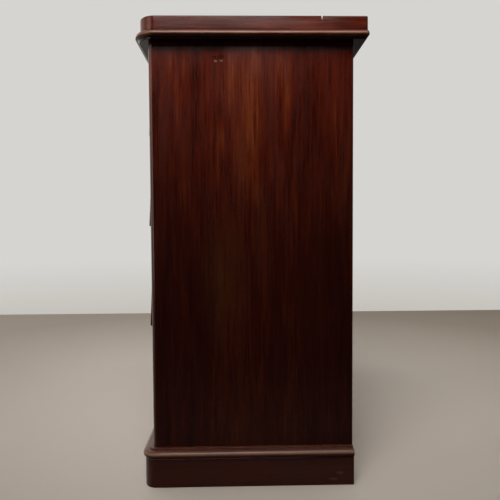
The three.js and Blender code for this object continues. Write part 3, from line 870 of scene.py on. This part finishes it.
board_low, board_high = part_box("plinth_right")
round_low, round_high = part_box("base_moulding_right")
board_projection = board_high.x - half_width
round_projection = round_high.x - half_width
fillet_foot = round_high.z - fillet_height
round_radius = (fillet_foot - round_low.z) / 2
board_run = strip_run(board_low.z, board_high.z, board_projection, board_arris, board_arris_steps)
half_round_run = strip_run(round_low.z, fillet_foot, round_projection, round_radius, round_steps)
fillet_run = strip_run(
    fillet_foot - fillet_lap, round_high.z, fillet_projection, fillet_arris, board_arris_steps,
)
runs = {"plinth": board_run, "base_moulding": combined(half_round_run, fillet_run, "UNION")}
for kind, run in runs.items():
    for part in ("front", "left", "right"):
        node = f"{kind}_{part}"
        finish = finishes[kind, part]
        piece = new_piece(node + "_run", mitred(run, part), finish, "carcass")
        eased(piece, plinth_arris)
        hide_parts(node)

block_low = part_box("plinth_front")[0].z + plinth_gap
block_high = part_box("bottom_board")[0].z - plinth_gap
block_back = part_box("plinth_front")[1].y
inner_half = half_width - block_inset
blocks = bmesh.new()
for number in range(block_count):
    middle = -inner_half + 2 * inner_half * (number + 0.5) / block_count
    box_form(
        blocks,
        (middle - block_width / 2, front_plane, block_low),
        (middle + block_width / 2, block_back, block_high),
    )
glue_blocks = new_piece("glue_blocks", mesh_from(blocks, "glue_blocks"), foot_pine, "carcass")
eased(glue_blocks, block_arris)
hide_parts("plinth_front")


# The top: a board with a nose worked on its edge over a hollow, and the slab on it, which stands
# back from the nose. The slab's edge is banded, and one joint has opened at the right end.

top_corner_steps = 14
back_corner_steps = 5
back_corner = 0.005
least_radius = 0.0002
slab_corner = 0.034
slab_arris = 0.003
slab_arris_steps = 5
nose_corner = 0.044
nose_round = 0.008
nose_round_steps = 8
nose_fillet = 0.002
hollow_depth = 0.008
hollow_steps = 8
split_place = 0.1475
split_width = 0.0042
split_depth = 0.0095
split_length = 0.10
split_drift = 0.016
cut_over = 0.002
joint_place = -0.0733
joint_half_width = 0.0009
joint_share = 0.5
joint_grain = (0.01, 0.01, 0.004)
joint_breaks = (0.35, 0.6, 0.3, 1)
end_facing = 0.6
warm_place = 0.125
warm_reach = 0.055


def plan_ring(low, high, inset, front_corner):
    """The outline of a top, set in from its box: round at the front corners, nearly square behind."""
    points = []
    for x, y, way_x, way_y, corner, start, steps in (
        (low.x, low.y, 1, 1, front_corner, pi, top_corner_steps),
        (high.x, low.y, -1, 1, front_corner, 1.5 * pi, top_corner_steps),
        (high.x, high.y, -1, -1, back_corner, 0, back_corner_steps),
        (low.x, high.y, 1, -1, back_corner, 0.5 * pi, back_corner_steps),
    ):
        radius = max(corner - inset, least_radius)
        centre_x = x + way_x * (inset + radius)
        centre_y = y + way_y * (inset + radius)
        points += round_corner(centre_x, centre_y, radius, start, steps)
    return points


def stacked(name, low, high, corner, levels):
    """A closed board built up from outlines, each set in by its own inset at its own level."""
    form = bmesh.new()
    rows = [
        [form.verts.new((x, y, level)) for x, y in plan_ring(low, high, inset, corner)]
        for inset, level in levels
    ]
    count = len(rows[0])
    for lower, upper in zip(rows, rows[1:]):
        for i in range(count):
            after = (i + 1) % count
            form.faces.new((lower[i], lower[after], upper[after], upper[i]))
    form.faces.new(reversed(rows[0]))
    form.faces.new(rows[-1])
    return smoothed(mesh_from(form, name))


def quarter_round(radius, steps):
    """How far in and how far up a quarter round goes, from its side to its crown."""
    return [(radius * (1 - cos(angle)), radius * sin(angle)) for angle in quarter_turn(steps)]


def banded_place(tree, seed):
    """Grain along the chest on the flat, and along each edge on the edges."""
    facing = tree_node(tree, "ShaderNodeTexCoord", {}).outputs["Normal"]
    split = tree_node(tree, "ShaderNodeSeparateXYZ", {0: facing})
    facing_x = maths(tree, "ABSOLUTE", split.outputs["X"])
    facing_y = maths(tree, "ABSOLUTE", split.outputs["Y"])
    on_end = maths(tree, "GREATER_THAN", facing_x, maths(tree, "MAXIMUM", facing_y, end_facing))
    ways = {0: on_end, 4: board_place(tree, "XYZ", seed), 5: board_place(tree, "YZX", seed + 1)}
    return tree_node(tree, "ShaderNodeMix", ways, data_type="VECTOR").outputs[1]


def split_form():
    """A long wedge, widest at the edge of the slab, as a joint opens when the wood shrinks."""
    form = bmesh.new()
    out = slab_high.x + cut_over
    inner = slab_high.x - split_length
    top = slab_high.z + cut_over
    deep = slab_high.z - split_depth
    half = split_width / 2
    corners = [
        (out, split_place - half, top), (out, split_place + half, top), (out, split_place, deep),
        (inner, split_place + split_drift, top),
    ]
    points = [form.verts.new(corner) for corner in corners]
    for face in ((0, 1, 2), (0, 3, 1), (1, 3, 2), (2, 3, 0)):
        form.faces.new([points[i] for i in face])
    bmesh.ops.recalc_face_normals(form, faces=form.faces)
    return mesh_from(form, "split")


def off_place(tree, middle):
    """How far before or behind a place on the slab's end a point lies."""
    return maths(tree, "ABSOLUTE", maths(tree, "SUBTRACT", along(tree, "Y"), middle))


def slab_joint(tree):
    """The hairline of a joint in the banding, a third of the way along the end."""
    broken = patchy(tree, surface_place(tree), joint_grain, joint_breaks, 2, 0.5)
    line = between(tree, off_place(tree, joint_place), joint_half_width, 0, 0, joint_share)
    return times(tree, line, broken)


def slab_warmth(tree):
    """The banding is more orange beside the split."""
    return between(tree, off_place(tree, warm_place), warm_reach, 0)


def top_piece(node, name, data, material):
    piece = new_piece(name, data, material, "carcass")
    piece.modifiers.new("flats", "WEIGHTED_NORMAL")
    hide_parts(node)


slab_low, slab_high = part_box("top_slab")
slab_edge = quarter_round(slab_arris, slab_arris_steps)
slab_levels = [(inset, slab_low.z + slab_arris - rise) for inset, rise in reversed(slab_edge)]
slab_levels += [(inset, slab_high.z - slab_arris + rise) for inset, rise in slab_edge]
slab_board = stacked("slab_banded", slab_low, slab_high, slab_corner, slab_levels)
slab_polish = polished("slab_polish", banded_place, 29, shade=slab_joint, warm=slab_warmth)
slab_data = combined(slab_board, split_form(), "DIFFERENCE")
top_piece("top_slab", "top_slab_banded", slab_data, slab_polish)

nose_low, nose_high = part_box("top_moulding")
nose_top = nose_high.z - nose_round
nose_foot = nose_top - nose_fillet
hollow_height = nose_foot - nose_low.z
nose_levels = [
    (hollow_depth * cos(angle), nose_low.z + hollow_height * sin(angle))
    for angle in quarter_turn(hollow_steps)
]
nose_levels += [(inset, nose_top + rise) for inset, rise in quarter_round(nose_round, nose_round_steps)]
rub_rise = 0.0016
rub_middle = nose_top + rub_rise
rub_half_width = 0.0030
lit_tail_depth = 0.0055
lit_tail_share = 0.6
rub_grain = (0.06, 0.05, 0.05)
rub_patches = (0.3, 0.6, 0.45, 1)
under_shade_share = 0.92


def nose_wear_and_lit_tail(tree):
    """Dusters and hands have rubbed the low edge of the nose pale, in some places more; below it a
    painted light fades down over the top of the hollow.
    """
    height = along(tree, "Z")
    foot = rub_middle - rub_half_width
    above = between(tree, height, rub_middle + rub_half_width, rub_middle)
    below = between(tree, height, foot, rub_middle)
    lit_tail = between(tree, height, foot - lit_tail_depth, foot, 0, lit_tail_share)
    patches = patchy(tree, surface_place(tree), rub_grain, rub_patches)
    crown = maths(tree, "MINIMUM", above, below)
    band = maths(tree, "MAXIMUM", crown, maths(tree, "MINIMUM", above, lit_tail))
    return times(tree, band, patches)


def under_shade(tree):
    """Painted shade: the hollow under the nose darkens to nearly black halfway down, and stays nearly
    black over the underside.
    """
    middle = nose_foot - hollow_height / 2
    return between(tree, along(tree, "Z"), nose_foot, middle, 0, under_shade_share)


# The nose carries painted light below its rubbed edge, and painted shade in the hollow and over the
# underside.
nose_polish = polished("nose_polish", banded_place, 31, shade=under_shade, rubbed=nose_wear_and_lit_tail)
nose_data = stacked("nose", nose_low, nose_high, nose_corner, nose_levels)
top_piece("top_moulding", "top_moulding_worked", nose_data, nose_polish)


# The four drawers. Each front is mahogany faced with a figured veneer, matched about the middle
# and kicking out a little towards its foot. The linings are thin pine, dovetailed at the corners.

drawer_numbers = (1, 2, 3, 4)
front_arris = 0.0010
lining_arris = 0.0005
plume_rise = 0.30
plume_power = 1.35
plume_grain = (0.12, 0.012, 0.03)


def plume_place(tree, seed):
    """The plume of a forked log, opened like a book about the middle of the front."""
    away = maths(tree, "ABSOLUTE", along(tree, "X"))
    rise = times(tree, maths(tree, "POWER", away, plume_power), plume_rise)
    parts = {0: away, 1: maths(tree, "ADD", along(tree, "Z"), rise), 2: along(tree, "Y")}
    return shifted(tree, tree_node(tree, "ShaderNodeCombineXYZ", parts), seed)


front_polish = polished("front_polish", plume_place, 37, bands=plume_grain)
lining_pine = old_pine("lining_pine", "YZX", 41, 0.35)
cross_pine = old_pine("cross_pine", "XZY", 43, 0.35)
bottom_pine = old_pine("bottom_pine", "XYZ", 47, 0.30)
linings = {
    "side_left": lining_pine, "side_right": lining_pine, "back": cross_pine, "bottom": bottom_pine,
}
for number in drawer_numbers:
    body = f"drawer_{number}"
    worked_board(f"{body}_front", front_arris, front_polish, body)
    for part, pine in linings.items():
        worked_board(f"{body}_{part}", lining_arris, pine, body)


# The locks, cast and filed brass cases let into the drawer fronts from behind and above, with a
# steel bolt that the key raises. Countersunk steel screws with a slot hold each one.

lock_arris = 0.0005
screw_radius = 0.0028
screw_proud = 0.00025
screw_facets = 16
slot_width = 0.0007
slot_depth = 0.0008
screw_inset = 0.007
lock_bright = (0.62, 0.43, 0.17, 1)
lock_dull = (0.22, 0.13, 0.055, 1)
lock_grime = (0.06, 0.04, 0.02, 1)
steel_bright = (0.42, 0.40, 0.38, 1)
steel_dull = (0.16, 0.13, 0.11, 1)
lock_brass = metal("lock_brass", lock_bright, lock_dull, 0.6, 0.30, lock_grime)
bolt_steel = metal("bolt_steel", steel_bright, steel_dull, 0.5, 0.28)


def screw_head_form():
    """A countersunk screw's head, slightly domed, with its slot."""
    profile = [
        (0, -slot_depth * 2), (screw_radius * 0.7, -slot_depth * 2), (screw_radius, 0),
        (screw_radius * 0.96, screw_proud * 0.6), (screw_radius * 0.5, screw_proud), (0, screw_proud),
    ]
    head = turned_form("screw_head", profile, screw_facets)
    slot = bmesh.new()
    reach = screw_radius + cut_over
    box_form(slot, (-reach, -slot_width / 2, -slot_depth), (reach, slot_width / 2, slot_depth))
    return combined(head, mesh_from(slot, "slot"), "DIFFERENCE")


screw_head = bpy.data.objects.new("screw_head", screw_head_form())
for number in drawer_numbers:
    body = f"drawer_{number}"
    worked_board(f"{body}_lock", lock_arris, lock_brass, body)
    worked_board(f"{body}_lock_bolt", lock_arris, bolt_steel, f"bolt_{number}")
    lock_low, lock_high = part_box(f"{body}_lock")
    screw_places = [
        (x, lock_high.y, z)
        for x in (lock_low.x + screw_inset, lock_high.x - screw_inset)
        for z in (lock_low.z + screw_inset, lock_high.z - screw_inset)
    ]
    driven_in(f"{body}_lock_screws", screw_head, screw_places, number, bolt_steel, body)
bpy.data.objects.remove(screw_head)


# The escutcheons, small keyhole plates of thin brass let flush into the fronts. Years of wax have
# darkened them in clouds and specks, and polishing has kept their faces bright.

plate_arris = 0.0003
plate_bright = (0.70, 0.50, 0.21, 1)
plate_dull = (0.28, 0.17, 0.07, 1)
plate_grime = (0.05, 0.032, 0.018, 1)
plate_brass = metal("plate_brass", plate_bright, plate_dull, 0.35, 0.24, plate_grime)
for number in drawer_numbers:
    worked_board(f"drawer_{number}_escutcheon", plate_arris, plate_brass, f"drawer_{number}")


# The knobs, turned from solid mahogany with a shank that is glued through the front. A flat
# bun stands on a waisted neck and a small foot, polished like the rest.

knob_facets = 48
knob_projection = 0.032
knob_radius = 0.022
knob_half_height = 0.010
knob_bun_steps = 24
knob_neck_radius = 0.010
knob_cove_height = 0.003
knob_cove_steps = 6
knob_foot_radius = 0.013
knob_foot_height = 0.003
knob_foot_steps = 4
knob_seat_inset = 0.0006
shank_radius = 0.006
knob_grain = (0.05, 0.004, 0.004)
knob_polish = polished("knob_polish", "XZY", 53, bands=knob_grain)


def knob_profile(shank_length):
    """Radius and height from the foot's seat, from the shank's end to the middle of the crown."""
    profile = [(0, -shank_length), (shank_radius, -shank_length), (shank_radius, 0)]
    profile.append((knob_foot_radius - knob_seat_inset, 0))
    bead = knob_foot_height / 2
    foot = knob_foot_radius - bead
    for step in range(knob_foot_steps + 1):
        angle = pi * (step / knob_foot_steps - 0.5)
        profile.append((foot + bead * cos(angle), bead + bead * sin(angle)))
    for angle in quarter_turn(knob_cove_steps)[1:]:
        radius = foot - (foot - knob_neck_radius) * sin(angle)
        profile.append((radius, knob_foot_height + knob_cove_height * (1 - cos(angle))))
    head = knob_projection - knob_half_height
    start = -acos(knob_neck_radius / knob_radius)
    for step in range(knob_bun_steps):
        angle = start + (pi / 2 - start) * step / knob_bun_steps
        profile.append((knob_radius * cos(angle), head + knob_half_height * sin(angle)))
    profile.append((0, head + knob_half_height))
    return profile


for number in drawer_numbers:
    for hand in ("left", "right"):
        node = f"drawer_{number}_knob_{hand}"
        low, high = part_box(node)
        seat = low.y + knob_projection
        data = turned_form(node + "_turned", knob_profile(high.y - seat), knob_facets)
        data.transform(Matrix.Rotation(pi / 2, 4, "X"))
        data.transform(Matrix.Translation(((low.x + high.x) / 2, seat, (low.z + high.z) / 2)))
        piece = new_piece(node + "_turned", data, knob_polish, f"drawer_{number}")
        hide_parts(node)


# The floor, pale and plain, and the light: a lamp over the right side, broad ones in front, behind,
# to the left and overhead, and three windows that light nothing and only show in the polish.
# What lies round the chest is pale to the camera, and dim where the polish mirrors it.

floor_half = 1.72
floor_rough = 0.6
floor_grain = (0.5, 0.5, 0.5)
floor_cloud_span = (0.3, 0.7, 0, 0.12)
floor_near = 0.7
floor_edge = 1.7
floor_colour = (0.45, 0.40, 0.35, 1)
floor_light = (0.50, 0.46, 0.42, 1)
floor_far_shade = (0.33, 0.275, 0.22, 1)
floor_ways = ((-1, -1), (1, -1), (1, 1), (-1, 1))
floor_corners = [(x * floor_half, y * floor_half, 0) for x, y in floor_ways]
floor_data = bpy.data.meshes.new("floor")
floor_data.from_pydata(floor_corners, [], [(0, 1, 2, 3)])
floor_material, floor_tree, floor_surface = new_material("floor_pale")
floor_at = surface_place(floor_tree)
floor_clouds = patchy(floor_tree, floor_at, floor_grain, floor_cloud_span)
# Painted shade: the floor darkens away from the chest, as the light falls off.
floor_shade_reach = between(floor_tree, vectors(floor_tree, "LENGTH", floor_at), floor_near, floor_edge)
floor_tint = laid_over(floor_tree, floor_clouds, floor_colour, floor_light)
floor_tint = laid_over(floor_tree, floor_shade_reach, floor_tint, floor_far_shade)
fed(floor_tree, floor_surface, {"Base Color": floor_tint, "Roughness": floor_rough})
floor_data.materials.append(floor_material)
floor = set_out("floor", floor_data)
floor.visible_glossy = False

backdrop_pale = (0.672, 0.658, 0.638, 1)
backdrop_low = (0.545, 0.520, 0.475, 1)
backdrop_rise = (-0.165, -0.06)
glow_colour = (1.0, 0.95, 0.89, 1)
glow_way = (-0.6, -0.8, 0)
glow_span = (0.3, 0.8)
glow_rise = (-0.35, 0.1, 0.3, 1)
glow_share = 0.95
glow_least = 0.025
world = bpy.data.worlds.new("room")
bpy.context.scene.world = world
world.use_nodes = True
room = world.node_tree
backdrop = room.nodes["Background"]
way = tree_node(room, "ShaderNodeTexCoord", {}).outputs["Generated"]
leftward = between(room, vectors(room, "DOT_PRODUCT", way, glow_way), *glow_span)
upward = tree_node(room, "ShaderNodeSeparateXYZ", {0: way}).outputs["Z"]
pale = times(room, leftward, between(room, upward, *glow_rise))
glow = maths(room, "MULTIPLY_ADD", pale, glow_share, glow_least)
tint = laid_over(room, between(room, upward, *backdrop_rise), backdrop_low, backdrop_pale)
fed(room, backdrop, {"Color": tint, "Strength": 1.0})
dim = tree_node(room, "ShaderNodeBackground", {"Color": glow_colour, "Strength": glow})
seen = tree_node(room, "ShaderNodeLightPath", {}).outputs["Is Camera Ray"]
choice = tree_node(room, "ShaderNodeMixShader", {0: seen, 1: dim, 2: backdrop})
fed(room, room.nodes["World Output"], {0: choice})


def soft_lamp(name, at, towards, size, power, spread=180, tint=(1, 1, 1), mirrored=True, lights=True):
    """A soft light at a place, facing another. One may only light, or only be mirrored."""
    lamp = bpy.data.lights.new(name, "AREA")
    lamp.shape = "RECTANGLE"
    lamp.size, lamp.size_y = size
    lamp.energy = power
    lamp.spread = radians(spread)
    lamp.color = tint
    holder = set_out(name, lamp)
    holder.location = at
    facing = Vector(towards) - Vector(at)
    holder.rotation_euler = facing.to_track_quat("-Z", "Y").to_euler()
    holder.visible_camera = False
    holder.visible_glossy = mirrored
    holder.visible_diffuse = lights


lamp_tint = (1, 0.97, 0.94)
soft_lamp(
    "over_the_right_side", (1.30, -0.22, 1.83), (0.47, 0, 0.95), (1.0, 0.6), 7.0, 66, lamp_tint,
    mirrored=False,
)
soft_lamp("front", (-0.5, -2.6, 1.4), (0, 0, 0.6), (3.4, 2.7), 34, tint=lamp_tint, mirrored=False)
soft_lamp("behind", (-0.5, 2.6, 1.8), (0, 0, 0.5), (2.0, 1.6), 20)
soft_lamp("left", (-2.4, 0.2, 1.9), (-0.3, 0, 0.4), (1.8, 1.6), 7)
soft_lamp("ceiling", (0, 0, 3.0), (0, 0, 0), (3.0, 3.0), 18)
for name, at, towards, size, power, tint in (
    ("window", (3.49, -0.20, 2.56), (0.49, -0.1, 0.9), (1.5, 0.56), 16, (1, 0.94, 0.91)),
    ("high_window", (2.61, 0.05, 3.46), (0.49, 0, 0.93), (2.2, 1.2), 64, (1, 0.96, 0.93)),
    ("left_window", (2.52, -2.39, 1.20), (0.47, -0.2, 0.8), (1.5, 2.2), 27, (1, 0.92, 0.88)),
):
    soft_lamp(name, at, towards, size, power, tint=tint, lights=False)


# The camera stands square to the right-hand side, a metre away, at about half the chest's height.
# Its place and lens were fitted to the photograph's outline.

camera_at = (1.5300, -0.0233, 0.5442)
camera_yaw = radians(1.199)
camera_pitch = radians(-2.485)
camera_roll = radians(-0.352)
focal_pixels = 505.6
picture_width = 500
sensor_width = 36
camera_data = bpy.data.cameras.new("camera")
camera_data.sensor_width = sensor_width
camera_data.lens = focal_pixels * sensor_width / picture_width
camera_data.clip_start = 0.05
camera = set_out("camera", camera_data)
camera.location = camera_at
forward = Vector((
    -cos(camera_yaw) * cos(camera_pitch),
    sin(camera_yaw) * cos(camera_pitch),
    sin(camera_pitch),
))
level_right = forward.cross(Vector((0, 0, 1))).normalized()
level_up = level_right.cross(forward)
right = cos(camera_roll) * level_right + sin(camera_roll) * level_up
up = -sin(camera_roll) * level_right + cos(camera_roll) * level_up
camera.rotation_mode = "QUATERNION"
camera.rotation_quaternion = Matrix((right, up, -forward)).transposed().to_quaternion()
bpy.context.scene.camera = camera
bpy.context.scene.view_settings.view_transform = "Standard"
